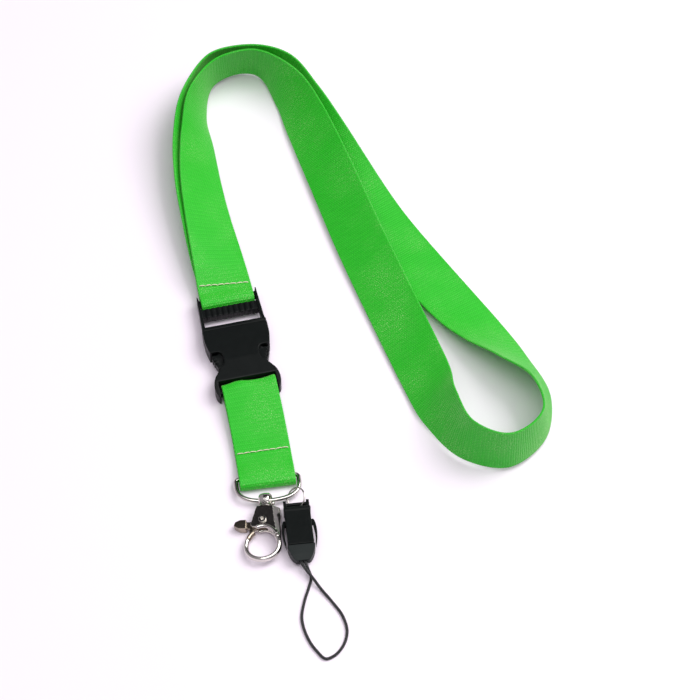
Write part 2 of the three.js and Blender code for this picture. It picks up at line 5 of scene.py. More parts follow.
import bpy
import numpy as np
from mathutils import Matrix, Vector


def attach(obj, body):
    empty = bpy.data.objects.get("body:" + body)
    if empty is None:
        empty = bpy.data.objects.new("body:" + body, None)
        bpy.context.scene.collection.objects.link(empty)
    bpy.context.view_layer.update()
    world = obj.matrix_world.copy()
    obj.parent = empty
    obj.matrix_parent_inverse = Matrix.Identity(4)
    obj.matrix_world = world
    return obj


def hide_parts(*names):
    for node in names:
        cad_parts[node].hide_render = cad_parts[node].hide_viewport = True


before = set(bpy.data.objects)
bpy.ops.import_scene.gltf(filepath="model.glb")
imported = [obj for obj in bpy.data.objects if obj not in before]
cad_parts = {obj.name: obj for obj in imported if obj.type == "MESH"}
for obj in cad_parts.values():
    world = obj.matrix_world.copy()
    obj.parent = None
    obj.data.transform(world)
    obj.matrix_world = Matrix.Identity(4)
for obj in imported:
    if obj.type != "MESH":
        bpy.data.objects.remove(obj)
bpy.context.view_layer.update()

MM = 0.001
DEGREE = math.pi / 180

# Driving dimensions, repeated from the CAD part in millimetres.
WEB_WIDTH = 25
WEB_THICK = 1.1
BAR_Z = 4.2
WRAP_RADIUS = 2.35
MALE_BAR_Y = 22.5
FEMALE_BAR_Y = -26.2
CORD_DIAMETER = 1.3

# Scale of the weave: ribs across the webbing, and the yarns that cross them.
RIB_PITCH = 1.1
RIB_HEIGHT = 0.09
YARN_PITCH = 0.5
ROWS_PER_RIB = 4

# ---------------------------------------------------------------- curves


def arc_length(points):
    steps = np.linalg.norm(np.diff(points, axis=0), axis=1)
    return np.concatenate([[0], np.cumsum(steps)])


def catmull_rom(points, t):
    """The uniform Catmull-Rom curve through the points, at values of t from 0 to 1."""
    p = np.asarray(points, float)
    padded = np.vstack([2 * p[0] - p[1], p, 2 * p[-1] - p[-2]])
    place = np.asarray(t) * (len(p) - 1)
    i = np.clip(np.floor(place).astype(int), 0, len(p) - 2)
    w = (place - i)[:, None]
    p0, p1, p2, p3 = padded[i], padded[i + 1], padded[i + 2], padded[i + 3]
    return hermite(p1, p2, (p2 - p0) / 2, (p3 - p1) / 2, w)


def hermite(p1, p2, m1, m2, w):
    return (
        p1 * (2 * w**3 - 3 * w**2 + 1)
        + p2 * (3 * w**2 - 2 * w**3)
        + m1 * (w**3 - 2 * w**2 + w)
        + m2 * (w**3 - w**2)
    )


def resample(values, at, wanted):
    """Values known at rising places, on a smooth curve at the wanted places."""
    slope = np.gradient(values, at, axis=0)
    i = np.clip(np.searchsorted(at, wanted, side="right") - 1, 0, len(at) - 2)
    span = (at[i + 1] - at[i])[:, None]
    w = (wanted - at[i])[:, None] / span
    return hermite(values[i], values[i + 1], slope[i] * span, slope[i + 1] * span, w)


def unit(v):
    return v / np.linalg.norm(v, axis=-1, keepdims=True)


def smoothstep(low, high, x):
    w = np.clip((x - low) / (high - low), 0, 1)
    return w * w * (3 - 2 * w)


def hump(x, centre, width):
    return np.exp(-(((x - centre) / width) ** 2))


# ---------------------------------------------------------------- meshes


def mesh_object(name, vertices, faces, material, attributes=None):
    """A smooth-shaded mesh from millimetre vertices. Attributes are one number for each vertex."""
    mesh = bpy.data.meshes.new(name)
    mesh.from_pydata((np.asarray(vertices) * MM).tolist(), [], faces)
    for key, values in (attributes or {}).items():
        layer = mesh.attributes.new(key, "FLOAT", "POINT")
        layer.data.foreach_set("value", np.asarray(values, np.float32).ravel())
    mesh.materials.append(material)
    mesh.update()
    mesh.polygons.foreach_set("use_smooth", [True] * len(mesh.polygons))
    obj = bpy.data.objects.new(name, mesh)
    bpy.context.scene.collection.objects.link(obj)
    return obj


def ring_faces(rows, columns, closed_along=False):
    """Quads of a tube of rings, with its two ends closed unless it runs round on itself."""
    faces = []
    for i in range(rows if closed_along else rows - 1):
        a, b = i * columns, (i + 1) % rows * columns
        for k in range(columns):
            n = (k + 1) % columns
            faces.append((a + k, a + n, b + n, b + k))
    if not closed_along:
        faces.append(tuple(range(columns))[::-1])
        faces.append(tuple(range((rows - 1) * columns, rows * columns)))
    return faces


def sweep(path, radii, sides, closed=False, up=(0, 0, 1), twist=None):
    """Rings of points along a path, with the place along it and the angle round it of each."""
    path = np.asarray(path, float)
    if closed:
        tangent = np.roll(path, -1, axis=0) - np.roll(path, 1, axis=0)
    else:
        tangent = np.gradient(path, axis=0)
    tangent = unit(tangent)
    across = unit(np.cross(np.asarray(up, float), tangent))
    lift = np.cross(tangent, across)
    angle = np.arange(sides) / sides * 2 * math.pi
    radii = np.broadcast_to(np.asarray(radii, float), (len(path),))
    r = np.repeat(radii[:, None], sides, axis=1)
    along = np.repeat(arc_length(path)[:, None], sides, axis=1)
    if twist is not None:
        r = r * twist(along, angle[None, :])
    points = (
        path[:, None]
        + across[:, None] * (r * np.cos(angle))[..., None]
        + lift[:, None] * (r * np.sin(angle))[..., None]
    )
    around = np.repeat(angle[None, :], len(path), axis=0)
    return points.reshape(-1, 3), along.ravel(), around.ravel()


def evaluated(obj):
    """The object's mesh with its modifiers applied."""
    graph = bpy.context.evaluated_depsgraph_get()
    return bpy.data.meshes.new_from_object(obj.evaluated_get(graph))


WORK_SCALE = 0.1  # millimetres to working units, large enough for the remesh


def moulded(name, material, node, voxel, relax, keep):
    """A CAD node as one smooth body, with the soft edges that moulding and casting leave.

    The voxel size is in millimetres, relax counts smoothing rounds, and keep is the share of faces kept.
    """
    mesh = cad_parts[node].data.copy()
    mesh.name = name
    mesh.transform(Matrix.Scale(WORK_SCALE / MM, 4))
    obj = bpy.data.objects.new(name, mesh)
    bpy.context.scene.collection.objects.link(obj)
    remesh = obj.modifiers.new("body", "REMESH")
    remesh.mode = "VOXEL"
    remesh.voxel_size = voxel * WORK_SCALE
    relaxed = obj.modifiers.new("relax", "SMOOTH")
    relaxed.factor = 0.5
    relaxed.iterations = relax
    thinner = obj.modifiers.new("thin", "DECIMATE")
    thinner.ratio = keep
    made = evaluated(obj)
    obj.modifiers.clear()
    obj.data = made
    bpy.data.meshes.remove(mesh)
    made.transform(Matrix.Scale(MM / WORK_SCALE, 4))
    made.materials.clear()
    made.materials.append(material)
    made.polygons.foreach_set("use_smooth", [True] * len(made.polygons))
    return obj


# ---------------------------------------------------------------- materials


class Nodes:
    """A short way to write a material's node tree."""

    def __init__(self, name):
        self.material = bpy.data.materials.new(name)
        self.material.use_nodes = True
        self.tree = self.material.node_tree
        self.shader = self.tree.nodes["Principled BSDF"]

    def set(self, **values):
        for key, value in values.items():
            self.shader.inputs[key.replace("_", " ")].default_value = value

    def node(self, kind, **settings):
        made = self.tree.nodes.new(kind)
        for key, value in settings.items():
            setattr(made, key, value)
        return made

    def feed(self, socket, value):
        if isinstance(value, bpy.types.NodeSocket):
            self.tree.links.new(value, socket)
        else:
            socket.default_value = value

    def math(self, operation, a, b=0.0):
        made = self.node("ShaderNodeMath", operation=operation)
        self.feed(made.inputs[0], a)
        self.feed(made.inputs[1], b)
        return made.outputs[0]

    def attribute(self, name):
        made = self.node("ShaderNodeAttribute", attribute_name=name)
        return made.outputs["Fac"]

    def place(self):
        return self.node("ShaderNodeTexCoord").outputs["Object"]

    def noise(self, scale, detail=2.0, vector=None, roughness=0.5):
        made = self.node("ShaderNodeTexNoise")
        made.inputs["Scale"].default_value = scale
        made.inputs["Detail"].default_value = detail
        made.inputs["Roughness"].default_value = roughness
        self.feed(made.inputs["Vector"], self.place() if vector is None else vector)
        return made.outputs["Fac"]

    def vector(self, x, y, z=0.0):
        made = self.node("ShaderNodeCombineXYZ")
        for socket, value in zip(made.inputs, (x, y, z)):
            self.feed(socket, value)
        return made.outputs[0]

    def mix(self, amount, a, b):
        made = self.node("ShaderNodeMix", data_type="RGBA")
        self.feed(made.inputs["Factor"], amount)
        for socket, value in zip((made.inputs["A"], made.inputs["B"]), (a, b)):
            self.feed(socket, value)
        return made.outputs["Result"]

    def between(self, value, low, high):
        """A value from 0 to 1, moved to run from low to high."""
        made = self.node("ShaderNodeMapRange")
        self.feed(made.inputs["Value"], value)
        made.inputs["To Min"].default_value = low
        made.inputs["To Max"].default_value = high
        return made.outputs[0]

    def ramp(self, value, low, high):
        """A smooth rise from 0 to 1 as the value goes from low to high."""
        made = self.node("ShaderNodeMapRange", interpolation_type="SMOOTHSTEP")
        self.feed(made.inputs["Value"], value)
        made.inputs["From Min"].default_value = low
        made.inputs["From Max"].default_value = high
        return made.outputs[0]

    def bump(self, height, distance, strength=1.0, under=None):
        made = self.node("ShaderNodeBump")
        made.inputs["Distance"].default_value = distance
        made.inputs["Strength"].default_value = strength
        self.feed(made.inputs["Height"], height)
        if under is not None:
            self.feed(made.inputs["Normal"], under)
        return made.outputs["Normal"]

    def finish(self, colour=None, roughness=None, normal=None):
        inputs = {"Base Color": colour, "Roughness": roughness, "Normal": normal}
        for key, value in inputs.items():
            if value is not None:
                self.feed(self.shader.inputs[key], value)
        return self.material


def weave(n, along, over):
    """Height of a plain weave from 0 to 1: neighbouring yarns ride over alternate ribs."""
    ribs = n.math("MULTIPLY", along, math.pi / RIB_PITCH)
    yarn = n.math("MULTIPLY", over, 1 / YARN_PITCH)
    odd = n.math("MODULO", n.math("FLOOR", n.math("ADD", yarn, 1000.0)), 2.0)
    phase = n.math("MULTIPLY", odd, math.pi)
    float_over = n.math("MAXIMUM", n.math("COSINE", n.math("ADD", ribs, phase)), 0.0)
    rounded = n.math("ABSOLUTE", n.math("SINE", n.math("MULTIPLY", yarn, math.pi)))
    return n.math("MULTIPLY", n.math("POWER", float_over, 0.6), n.math("POWER", rounded, 0.5))


def webbing_material():
    """Bright green woven polyester, with painted shade deep between the yarns, painted light on their crowns,
    and pale flecks of painted sheen.
    """
    n = Nodes("green_webbing")
    n.set(Sheen_Weight=0.42, Sheen_Roughness=0.3, Sheen_Tint=(0.9, 1, 0.6, 1), Specular_IOR_Level=0.4)
    along = n.attribute("along_mm")
    over = n.attribute("over_mm")
    height = weave(n, along, over)
    lengthwise = n.vector(n.math("MULTIPLY", over, 2.2), n.math("MULTIPLY", along, 0.10))
    crosswise = n.vector(n.math("MULTIPLY", over, 0.12), n.math("MULTIPLY", along, 1.7))
    yarns = n.noise(1.0, 3, lengthwise)
    ribs = n.noise(1.0, 2, crosswise)
    uneven = n.math("MULTIPLY", n.math("ADD", yarns, ribs), 0.5)
    alternate = n.math("COSINE", n.math("MULTIPLY", along, math.pi / RIB_PITCH))
    # Painted shade and painted light by the weave's height: deep green low between the yarns, the paler crown
    # green on their crowns, and alternate ribs lighter. The random unevenness along the yarns and ribs is the
    # webbing's own tone.
    deep = n.mix(uneven, (0.001, 0.36, 0.003, 1), (0.003, 0.48, 0.004, 1))
    crown = n.mix(n.noise(22.0, 3), (0.012, 0.53, 0.010, 1), (0.045, 0.61, 0.030, 1))
    lit = n.math("MULTIPLY", n.between(height, 0.35, 1.0), n.between(uneven, 0.5, 1.25))
    lit = n.math("ADD", lit, n.math("MULTIPLY", alternate, 0.10))
    # Pale flecks of painted sheen, gathered in broad noise patches, mix the woven colour towards a pale
    # yellow-green.
    painted_sheen_flecks = n.noise(1.0, 2, n.vector(n.math("MULTIPLY", over, 2.6), n.math("MULTIPLY", along, 1.5)), 0.7)
    mask_field = n.noise(45.0, 3)
    amount = n.math("MULTIPLY", n.ramp(painted_sheen_flecks, 0.52, 0.72), n.ramp(mask_field, 0.35, 0.75))
    colour = n.mix(amount, n.mix(lit, deep, crown), (0.42, 0.72, 0.28, 1))
    fuzz = n.noise(1.0, 2, n.vector(n.math("MULTIPLY", over, 9.0), n.math("MULTIPLY", along, 3.0)))
    normal = n.bump(fuzz, 0.00007, 0.6, under=n.bump(height, 0.00014, 0.7))
    return n.finish(colour, n.between(fuzz, 0.44, 0.6), normal)


def thread_material():
    n = Nodes("cream_thread")
    n.set(Sheen_Weight=0.3, Sheen_Roughness=0.4)
    along = n.attribute("along_mm")
    around = n.attribute("around")
    turn = n.math("ADD", n.math("MULTIPLY", along, 14.0), n.math("MULTIPLY", around, 3.0))
    strands = n.between(n.math("SINE", turn), 0.0, 1.0)
    colour = n.mix(n.noise(900.0), (0.72, 0.70, 0.47, 1), (0.86, 0.84, 0.64, 1))
    return n.finish(colour, 0.55, n.bump(strands, 0.00008, 0.7))


def plastic_material(name="black_acetal", shade=1.0, gloss=0.36):
    n = Nodes(name)
    n.set(Specular_IOR_Level=0.17)
    mottled = n.noise(160.0, 4)
    low = tuple(c * shade for c in (0.0022, 0.0034, 0.0033)) + (1,)
    high = tuple(c * shade for c in (0.0045, 0.0062, 0.0061)) + (1,)
    mask_field = n.node("ShaderNodeNewGeometry").outputs["Pointiness"]
    edge = n.node("ShaderNodeMapRange")
    n.feed(edge.inputs["Value"], mask_field)
    edge.inputs["From Min"].default_value = 0.52
    edge.inputs["From Max"].default_value = 0.62
    rubbed = n.mix(edge.outputs[0], n.mix(mottled, low, high), (0.016, 0.0165, 0.017, 1))
    grain = n.noise(5200.0, 2)
    rough = n.between(n.noise(700.0, 4), gloss - 0.06, gloss + 0.12)
    return n.finish(rubbed, rough, n.bump(grain, 0.00003, 0.35))


def nickel_material(name="polished_nickel", tint=(0.72, 0.69, 0.65), gloss=0.13):
    n = Nodes(name)
    n.set(Metallic=1.0)
    haze = n.noise(260.0, 4)
    light = tint + (1,)
    dull = tuple(c * 0.8 for c in tint) + (1,)
    scratches = n.noise(1.0, 2, scaled(n, (5200.0, 500.0, 5200.0)))
    rough = n.between(n.noise(1500.0, 3), gloss - 0.05, gloss + 0.1)
    normal = n.bump(scratches, 0.00001, 0.35, under=n.bump(n.noise(420.0, 2), 0.00004, 0.5))
    return n.finish(n.mix(haze, light, dull), rough, normal)


def scaled(n, factors):
    made = n.node("ShaderNodeVectorMath", operation="MULTIPLY")
    n.feed(made.inputs[0], n.place())
    made.inputs[1].default_value = factors
    return made.outputs[0]


def cord_material():
    n = Nodes("black_cord")
    n.set(Sheen_Weight=0.25, Sheen_Roughness=0.5, Specular_IOR_Level=0.4)
    along = n.attribute("along_mm")
    around = n.attribute("around")
    right = n.math("SINE", n.math("ADD", n.math("MULTIPLY", along, 6.5), n.math("MULTIPLY", around, 4.0)))
    left = n.math("SINE", n.math("SUBTRACT", n.math("MULTIPLY", along, 6.5), n.math("MULTIPLY", around, 4.0)))
    plait = n.between(n.math("MAXIMUM", right, left), 0.0, 1.0)
    # The colour follows the plait's relief: painted shade in its grooves and painted highlight on its crowns.
    colour = n.mix(plait, (0.004, 0.004, 0.005, 1), (0.020, 0.020, 0.022, 1))
    return n.finish(colour, 0.55, n.bump(plait, 0.00012, 0.8))


GREEN = webbing_material()
CREAM = thread_material()
BLACK = plastic_material()
CLIP_BLACK = plastic_material("black_clip_plastic", 1.0, 0.3)
NOSE_GREY = plastic_material("worn_nose_plastic", 2.8, 0.42)
NICKEL = nickel_material()
LEVER_NICKEL = nickel_material("worn_brassy_nickel", (0.42, 0.36, 0.29), 0.2)
CORD = cord_material()

# ---------------------------------------------------------------- webbing

# Half-thickness of the webbing at shares of its half-width: flat, then a rounded selvedge.
SECTION = [
    (0.0, 0.5), (0.25, 0.5), (0.5, 0.5), (0.72, 0.5), (0.87, 0.5),
    (0.93, 0.47), (0.965, 0.52), (0.988, 0.42), (1.0, 0.16),
]


# The cut edge of each rib: how far it stays inside the webbing's width, and how far it comes and goes.
EDGE_INSET = 0.06
EDGE_SCALLOP = 0.07
# Moves the weave's pattern on the back, so that it doesn't repeat the front's.
BACK_OFFSET = 40


def webbing_section():
    """The ring of points of the section: share of the half-width, and height over the middle."""
    top = [(-s, h) for s, h in SECTION[:0:-1]] + SECTION
    bottom = [(s, -h) for s, h in top[::-1]]
    return np.array(top + bottom)


def webbing(name, centre, across, shape=None):
    """Woven webbing along centre points in millimetres, with its ribs, selvedges and cut ends."""
    known = arc_length(centre)
    length = known[-1]
    rows = int(length / RIB_PITCH * ROWS_PER_RIB)
    along = np.linspace(0, length, rows)
    centre = resample(centre, known, along)
    across = unit(resample(across, known, along))
    tangent = unit(np.gradient(centre, axis=0))
    normal = unit(np.cross(tangent, across))
    section = webbing_section()
    share, height = section[:, 0][None, :], section[:, 1][None, :]
    s = along[:, None]
    rib = np.cos(2 * math.pi * s / RIB_PITCH)
    lift = height + np.sign(height) * RIB_HEIGHT * rib * (1 - share**8)
    over = share * (WEB_WIDTH / 2 - EDGE_INSET + EDGE_SCALLOP * rib)
    whole = np.zeros_like(over) if shape is None else shape(s, share)
    points = (
        centre[:, None] - across[:, None] * over[..., None] + normal[:, None] * (lift + whole)[..., None]
    )
    attributes = {
        "along_mm": np.repeat(s, len(section), axis=1),
        "over_mm": np.repeat(over[:1] + BACK_OFFSET * (height < 0), rows, axis=0),
    }
    faces = ring_faces(rows, len(section))
    obj = mesh_object(name, points.reshape(-1, 3), faces, GREEN, attributes)
    return obj


# Centre of the neck webbing at each station, and its bank, as in the CAD part.
NECK_ROUTE = [
    # up the near side
    (0, 28, 5.7, 0), (0, 36, 6.4, 8), (0, 46, 8, 17), (0, 70, 9, 30), (1, 92, 10, 40),
    (4, 115, 11.5, 55), (8, 135, 13, 75),
    # round the top
    (20, 151, 15, 100), (40, 153, 14.5, 100), (52, 136, 12, 65),
    # down to the right-hand loop
    (57, 115, 10.5, 45), (62, 80, 9.5, 35), (67, 40, 8.5, 30), (73, 0, 8, 30), (79, -40, 8.5, 35),
    # round the right-hand loop
    (81, -61, 12, 55), (88, -81, 14, 75), (105, -91, 14.5, 85), (123, -81, 14, 85), (127, -60, 13, 65),
    (119, -39, 9.5, 43),
    # back up, under the run that came down
    (110, -20, 5.6, 21), (101, 0, 3.2, 7), (85, 40, 1.4, 0), (77, 62, 2, -5), (70, 83, 5, -18),
    (64, 104, 8.5, -35), (59, 125, 11, -55), (53, 145, 12.5, -75),
    # round the top again, outside the first layer
    (38, 156, 15, -100), (17, 154, 15.5, -100), (4, 134, 13, -75),
    # down to the buckle, under the first layer
    (0, 112, 10.5, -50), (-2, 89, 8.5, -38), (-2, 67, 7, -30), (-1, 46, 5.8, -17), (0, 36, 4.7, -8),
    (0, 27, 4.2, 0),
]
STEPS_PER_STATION = 5
TAIL = [(36, 3.2, 8), (32, 2.8, 4), (28, 2.4, 0), (24.5, 1.95, 0), (23, 1.85, 0)]
TURN = np.arange(7) / 6 * math.pi


def turned(vector, axis, angle):
    """Vectors turned about unit axes by angles in radians."""
    c, s = np.cos(angle)[:, None], np.sin(angle)[:, None]
    dot = np.sum(axis * vector, axis=1, keepdims=True)
    return vector * c + np.cross(axis, vector) * s + axis * dot * (1 - c)


def wrap_points(y, side):
    """Half a turn of the webbing round a bar, from under it to over it."""
    angle = TURN - math.pi / 2
    return [(0, y + side * math.cos(a) * WRAP_RADIUS, BAR_Z + math.sin(a) * WRAP_RADIUS) for a in angle]


def neck_frames():
    route = np.array(NECK_ROUTE, float)
    t = np.linspace(0, 1, (len(route) - 1) * STEPS_PER_STATION + 1)
    path = catmull_rom(route, t)
    centre, bank = path[:, :3], path[:, 3] * DEGREE
    tangent = unit(np.gradient(centre, axis=0))
    level = unit(np.stack([-tangent[:, 1], tangent[:, 0], np.zeros(len(t))], axis=1))
    across = turned(level, tangent, bank)
    left = np.array([-1.0, 0, 0])
    tail = [(0, y, z) for y, z, _ in TAIL]
    tail_across = [(-math.cos(b * DEGREE), 0, math.sin(b * DEGREE)) for _, _, b in TAIL]
    turn = wrap_points(MALE_BAR_Y, -1) + [(0, 24, 6.5)]
    centre = np.vstack([tail, turn, centre])
    across = np.vstack([tail_across, [left] * len(turn), across])
    return centre, across


NECK_SEAM_Y = 30.6
SEAM_DEPTH = 0.22
SEAM_WIDTH = 0.8
# How far along the neck webbing its stitch row lies.
NECK_SEAM_AT = 29.1


def neck_shape(s, share):
    """Pulls the whole width of the webbing in along its seam."""
    return -SEAM_DEPTH * hump(s, NECK_SEAM_AT, SEAM_WIDTH) * np.ones_like(share)


def build_neck_strap():
    centre, across = neck_frames()
    obj = webbing("neck_webbing", centre, across, neck_shape)
    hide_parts("neck_strap")
    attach(obj, "neck")


# ---------------------------------------------------------------- short strap

SHORT_START = -26
SHORT_END = -78
SHORT_TURN = 4.5
SHORT_X = 0.35
FOLD_Y = -76.4
FOLD_Z = 2.95
FOLD_RADIUS = 2.3
SHORT_SEAM_Y = -60.8
SHORT_TOP = 6.4


def short_plan(y):
    """Centre in X and heading of the short strap at a place along Y."""
    y = np.asarray(y, float)
    share = np.clip((SHORT_START - y) / (SHORT_START - SHORT_END), 0, 1)
    heading = SHORT_TURN * share * DEGREE
    beyond = np.maximum(SHORT_END - y, 0)
    drift = (SHORT_START - SHORT_END) * share * heading / 2 + beyond * np.sin(heading)
    return SHORT_X - drift, heading


def short_frames():
    fold = [(FOLD_Y - math.sin(a) * FOLD_RADIUS, FOLD_Z + math.cos(a) * FOLD_RADIUS) for a in TURN]
    profile = [(-66, 2.1), (-58, 2.1), (-48, 1.7), (-38, 1.5), (-31, 1.75)]
    profile += [(y, z) for _, y, z in wrap_points(FEMALE_BAR_Y, 1)]
    profile += [(-31, SHORT_TOP), (-38, 5.6), (-46, 4.6), (-53, 3.8), (-60, 3.6)]
    profile += [(-66, 3.9), (-70, 4.6), (-73.5, 5.2)]
    profile += fold + [(-72, 0.65), (-66, 0.65), (-60, 0.65), (-54, 0.65)]
    y, z = np.array(profile).T
    x, heading = short_plan(y)
    centre = np.stack([x, y, z], axis=1)
    across = np.stack([np.cos(heading), -np.sin(heading), 0 * y], axis=1)
    return centre, across


def build_short_strap():
    centre, across = short_frames()
    at = arc_length(centre)
    top = np.where(centre[:, 2] == SHORT_TOP)[0][0]
    crown = at[top - 2]
    seam = at[top + 4] + (-60 - SHORT_SEAM_Y)

    def shape(s, share):
        """Two puckers where the webbing leaves the bar, slow waves below them, and the seam."""
        pucker = 1.15 * hump(share, 0.36, 0.3) + 1.0 * hump(share, -0.95, 0.25) - 0.15
        wave = 0.14 * np.sin(s / 6.5 + share * 2.2) * smoothstep(crown + 4, crown + 14, s)
        wave = wave * (1 - smoothstep(seam - 6, seam, s))
        return pucker * hump(s, crown + 0.6, 3.2) + wave - SEAM_DEPTH * hump(s, seam, SEAM_WIDTH)

    obj = webbing("short_webbing", centre, across, shape)
    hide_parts("short_strap")
    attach(obj, "strap")


build_neck_strap()
build_short_strap()

# ---------------------------------------------------------------- stitching

STITCHES = 8
STITCH_PITCH = 2.9
THREAD_RADIUS = 0.24


def stitch_row(name, centre, across, up, body, node):
    """A row of lockstitches: each is a short twisted strand whose ends dive into the webbing."""
    vertices, faces, along, around = [], [], [], []
    t = np.linspace(-0.5, 0.5, 25)
    for i in range(STITCHES):
        middle = centre + across * (i - (STITCHES - 1) / 2) * STITCH_PITCH
        skew = 0.12 * math.sin(i * 2.4)
        rise = 0.3 - 1.0 * np.abs(2 * t) ** 5
        side = np.cross(up, across)
        path = middle + np.outer(t * STITCH_PITCH * 0.98, across) + np.outer(rise, up)
        path = path + np.outer(skew * np.sin(t * math.pi), side)
        radii = THREAD_RADIUS * (1 - 0.35 * np.abs(2 * t) ** 3)

        def strands(s, angle):
            return 1 + 0.1 * np.cos(2 * angle - s * 5.5)

        points, s, a = sweep(path, radii, 12, up=side, twist=strands)
        faces += [tuple(k + len(vertices) for k in f) for f in ring_faces(len(path), 12)]
        vertices += points.tolist()
        along += (s + i * STITCH_PITCH).tolist()
        around += a.tolist()
    obj = mesh_object(name, vertices, faces, CREAM, {"along_mm": along, "around": around})
    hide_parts(node)
    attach(obj, body)


neck_tilt = 3.5 * DEGREE
NECK_ROW_SLANT = -0.075
stitch_row(
    "neck_stitches",
    np.array([0, NECK_SEAM_Y, 6.05 + WEB_THICK / 2]),
    np.array([math.cos(neck_tilt), NECK_ROW_SLANT, -math.sin(neck_tilt)]),
    np.array([math.sin(neck_tilt), 0, math.cos(neck_tilt)]),
    "neck",
    "neck_strap_stitching",
)
seam_x, seam_heading = short_plan(SHORT_SEAM_Y)
stitch_row(
    "short_strap_stitches",
    np.array([seam_x, SHORT_SEAM_Y, 3.6 + WEB_THICK / 2]),
    np.array([math.cos(seam_heading), -math.sin(seam_heading), 0]),
    np.array([0, 0, 1.0]),
    "strap",
    "short_strap_stitching",
)

# ---------------------------------------------------------------- moulded and cast pieces


def recast(node, body, material, voxel, relax, keep):
    """A CAD node made again with the soft edges and rounded corners of a moulded or cast piece."""
    name = node + "_finished"
    made = moulded(name, material, node, voxel, relax, keep)
    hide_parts(node)
    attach(made, body)


recast("buckle_male_frame", "plug", BLACK, 0.2, 5, 0.25)
recast("buckle_female", "socket", BLACK, 0.2, 7, 0.25)
recast("buckle_release_arm_right", "release_right", BLACK, 0.16, 4, 0.4)
recast("buckle_release_arm_left", "release_left", BLACK, 0.16, 4, 0.4)

recast("phone_clip_socket", "clip_socket", CLIP_BLACK, 0.13, 4, 0.3)
recast("phone_clip_plug", "clip_plug", NOSE_GREY, 0.13, 4, 0.3)
recast("phone_clip_arm_right", "clip_catch_right", CLIP_BLACK, 0.1, 4, 0.4)
recast("phone_clip_arm_left", "clip_catch_left", CLIP_BLACK, 0.1, 4, 0.4)
recast("phone_cord_knot", "clip_plug", CORD, 0.1, 4, 0.4)

recast("hook_body", "hook", NICKEL, 0.11, 5, 0.4)
recast("hook_gate", "gate", LEVER_NICKEL, 0.11, 4, 0.4)
recast("hook_gate_rivet", "hook", NICKEL, 0.07, 5, 0.4)
recast("hook_gate_spring", "hook", NICKEL, 0.08, 2, 0.5)
recast("hook_swivel_eye", "eye", NICKEL, 0.09, 5, 0.4)

# ---------------------------------------------------------------- rings

RING_WIRE = 2
RING_HALF = 14
RING_DEPTH = 12.5
RING_CORNER = 1.6
JUMP_RADIUS = 4.8
JUMP_WIRE = 0.7
WIRE_SIDES = 24


def turn_about(x, y, z):
    """A turn by angles in degrees: first about X, then Y, then Z."""
    turn = Matrix.Rotation(z * DEGREE, 4, "Z") @ Matrix.Rotation(y * DEGREE, 4, "Y")
    return turn @ Matrix.Rotation(x * DEGREE, 4, "X")


def bezier(a, b, c, d, steps):
    t = np.linspace(0, 1, steps, endpoint=False)[:, None]
    a, b, c, d = (np.array(point, float) for point in (a, b, c, d))
    return a * (1 - t) ** 3 + 3 * b * t * (1 - t) ** 2 + 3 * c * t**2 * (1 - t) + d * t**3


def quarter(x, y, radius, start, steps):
    angle = (start - np.arange(steps) / steps * 90) * DEGREE
    return np.stack([x + np.cos(angle) * radius, y + np.sin(angle) * radius], axis=1)


def d_ring_path():
    """The ring's centre line, clockwise from the left end of its straight bar."""
    inset = RING_HALF - RING_CORNER
    bar = np.stack([np.linspace(-inset, inset, 40, endpoint=False), np.zeros(40)], axis=1)
    bow = [
        bezier((RING_HALF, -4), (RING_HALF, -9.8), (9.2, -RING_DEPTH), (0, -RING_DEPTH), 60),
        bezier((0, -RING_DEPTH), (-9.2, -RING_DEPTH), (-RING_HALF, -9.8), (-RING_HALF, -4), 60),
    ]
    right = quarter(inset, -RING_CORNER, RING_CORNER, 90, 10)
    left = quarter(-inset, -RING_CORNER, RING_CORNER, 180, 10)
    side = np.linspace(-RING_CORNER, -4, 6, endpoint=False)
    down = np.stack([np.full(6, RING_HALF), side], axis=1)
    up = np.stack([np.full(6, -RING_HALF), (-4 - RING_CORNER) - side], axis=1)
    flat = np.vstack([bar, right, down, *bow, up, left])
    return np.hstack([flat, np.zeros((len(flat), 1))])


def wire_ring(name, path, radius, place, body, node):
    """A closed ring of round wire, turned and moved to its place."""
    points, _, _ = sweep(path, radius, WIRE_SIDES, closed=True)
    placed = [place @ Vector(point) for point in points]
    faces = ring_faces(len(path), WIRE_SIDES, True)
    obj = mesh_object(name, placed, faces, NICKEL)
    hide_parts(node)
    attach(obj, body)


d_ring_place = Matrix.Translation((-1.35, -73.8, 2.6)) @ turn_about(-3.2, 0, -6.5)
wire_ring("d_ring_wire", d_ring_path(), RING_WIRE / 2, d_ring_place, "ring", "d_ring")

circle = np.arange(160) / 160 * 2 * math.pi
jump_path = np.stack([np.cos(circle) * JUMP_RADIUS, np.sin(circle) * JUMP_RADIUS, 0 * circle], axis=1)
jump_place = Matrix.Translation((8.8, -88.1, 3.9)) @ turn_about(0, -43, 9.3)
wire_ring("jump_ring_wire", jump_path, JUMP_WIRE / 2, jump_place, "jump", "jump_ring")

# ---------------------------------------------------------------- cord loop

# The cord's route as in the CAD part, in metres.
CORD_ROUTE = [
    (0.0062, -0.118, 0.0036), (0.0061, -0.1199, 0.00355), (0.0066, -0.1228, 0.0024),
    (0.0071, -0.1268, 0.001), (0.0052, -0.131, 0.00072), (0.0018, -0.1375, 0.0007),
    (-0.0009, -0.145, 0.0007), (-0.0007, -0.1535, 0.0007), (0.0016, -0.161, 0.0007),
    (0.0054, -0.1663, 0.0007), (0.0086, -0.1656, 0.0007), (0.0136, -0.1616, 0.0007),
    (0.0166, -0.1555, 0.0007), (0.0164, -0.148, 0.0007), (0.0134, -0.14, 0.0007),
    (0.01, -0.133, 0.0012), (0.0074, -0.1274, 0.00265), (0.0054, -0.1233, 0.0034),
    (0.0044, -0.1199, 0.0036), (0.00455, -0.1179, 0.0036),
]
CORD_SIDES = 16
CORD_STEPS = 420


